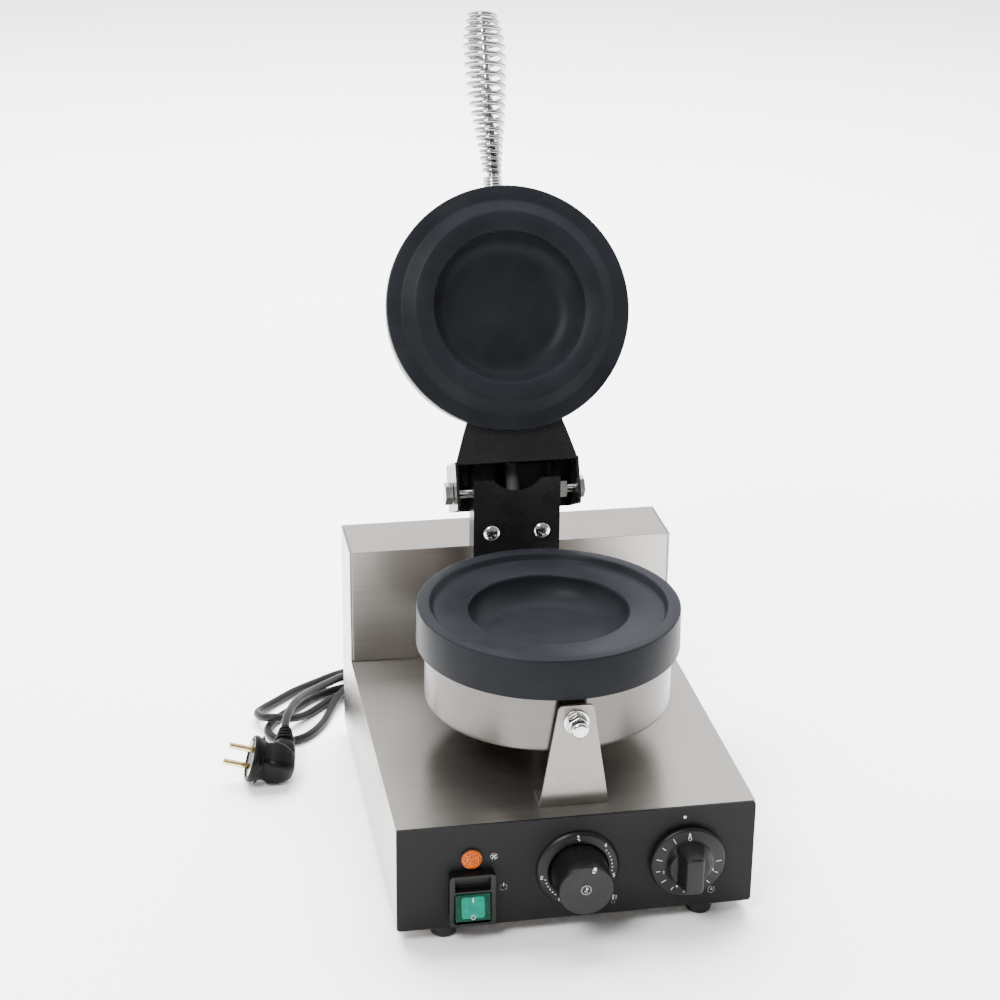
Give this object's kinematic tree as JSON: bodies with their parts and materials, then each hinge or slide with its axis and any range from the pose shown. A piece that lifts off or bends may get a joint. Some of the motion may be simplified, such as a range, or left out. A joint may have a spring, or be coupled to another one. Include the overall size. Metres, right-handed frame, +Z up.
{
  "type": "electric waffle press",
  "caption": "Single-head electric press with a tall hinged lid, two dished round plates, coil-spring handle, front panel controls and mains cord.",
  "frame": {"origin": "on the bench, under the middle of the machine without its cord", "axes": "+Z up, the control panel faces -Y, the hinge axis lies along X"},
  "size_m": [0.3527, 0.4452, 0.5603],
  "materials": {
    "stainless": "brushed",
    "cast_plate": "satin dark non-stick coating",
    "black_sheet": "semi-gloss black paint",
    "panel_black": "satin black print",
    "knob_black": "satin",
    "chrome": "bright plating",
    "lamp_orange": "clear orange lens",
    "rocker_green": "translucent green",
    "black_rubber": "soft matt",
    "brass": "polished",
    "fibre": "white fibre pad",
    "sleeve": "braided glass sleeve",
    "inner_plastic": "moulded"
  },
  "bodies": {
    "base": {"base_housing": "stainless", "rear_box_cover": "stainless", "bottom_plate": "stainless", "control_panel": "panel_black", "foot_front_left": "black_rubber", "foot_front_right": "black_rubber", "foot_rear_left": "black_rubber", "foot_rear_right": "black_rubber", "indicator_lens": "lamp_orange", "indicator_body": "inner_plastic", "switch_frame": "knob_black", "switch_body": "inner_plastic", "thermostat_dial_ring": "knob_black", "thermostat_body": "inner_plastic", "thermostat_bulb": "chrome", "timer_body": "inner_plastic", "terminal_block": "inner_plastic", "lower_plate": "cast_plate", "lower_drum": "stainless", "lower_heater": "chrome", "lower_insulation": "fibre", "heater_conduit": "stainless", "front_support_bracket": "stainless", "front_stud": "chrome", "support_washer": "chrome", "support_cap_nut": "chrome", "rear_support_bracket": "stainless", "rear_stud": "chrome", "hinge_pedestal": "black_sheet", "pedestal_screw_left": "chrome", "pedestal_screw_right": "chrome", "lead_clamp_bar": "stainless", "hinge_bolt_left": "chrome", "hinge_bolt_right": "chrome", "hinge_nut_left": "chrome", "hinge_nut_right": "chrome", "lead_in_pedestal": "sleeve", "cord_gland": "black_rubber", "power_cord": "black_rubber", "plug_body": "black_rubber", "plug_strain_relief": "black_rubber", "plug_pin_upper": "brass", "plug_pin_lower": "brass"},
    "lid": {"lid_arm": "black_sheet", "upper_plate": "cast_plate", "upper_cover": "stainless", "upper_heater": "chrome", "upper_insulation": "fibre", "lead_in_lid": "sleeve", "handle_rod": "chrome", "handle_coil": "chrome", "handle_collar": "chrome"},
    "thermostat_control": {"thermostat_knob": "knob_black", "thermostat_shaft": "chrome"},
    "timer_control": {"timer_knob": "knob_black", "timer_shaft": "chrome"},
    "power_rocker": {"switch_rocker": "rocker_green"}
  },
  "joints": [
    {"name": "lid_hinge", "type": "hinge", "parent": "base", "child": "lid", "pos_m": [0, 0.0554, 0.228], "axis": [1, 0, 0], "range_deg": [0, 115]},
    {"name": "thermostat_turn", "type": "hinge", "parent": "base", "child": "thermostat_control", "pos_m": [0, -0.1926, 0.049], "axis": [0, 1, 0], "range_deg": [-168, 132]},
    {"name": "timer_turn", "type": "hinge", "parent": "base", "child": "timer_control", "pos_m": [0.077, -0.1926, 0.0485], "axis": [0, 1, 0], "range_deg": [0, 300]},
    {"name": "power_rock", "type": "hinge", "parent": "base", "child": "power_rocker", "pos_m": [-0.0738, -0.1921, 0.0288], "axis": [1, 0, 0], "range_deg": [0, 16]}
  ]
}
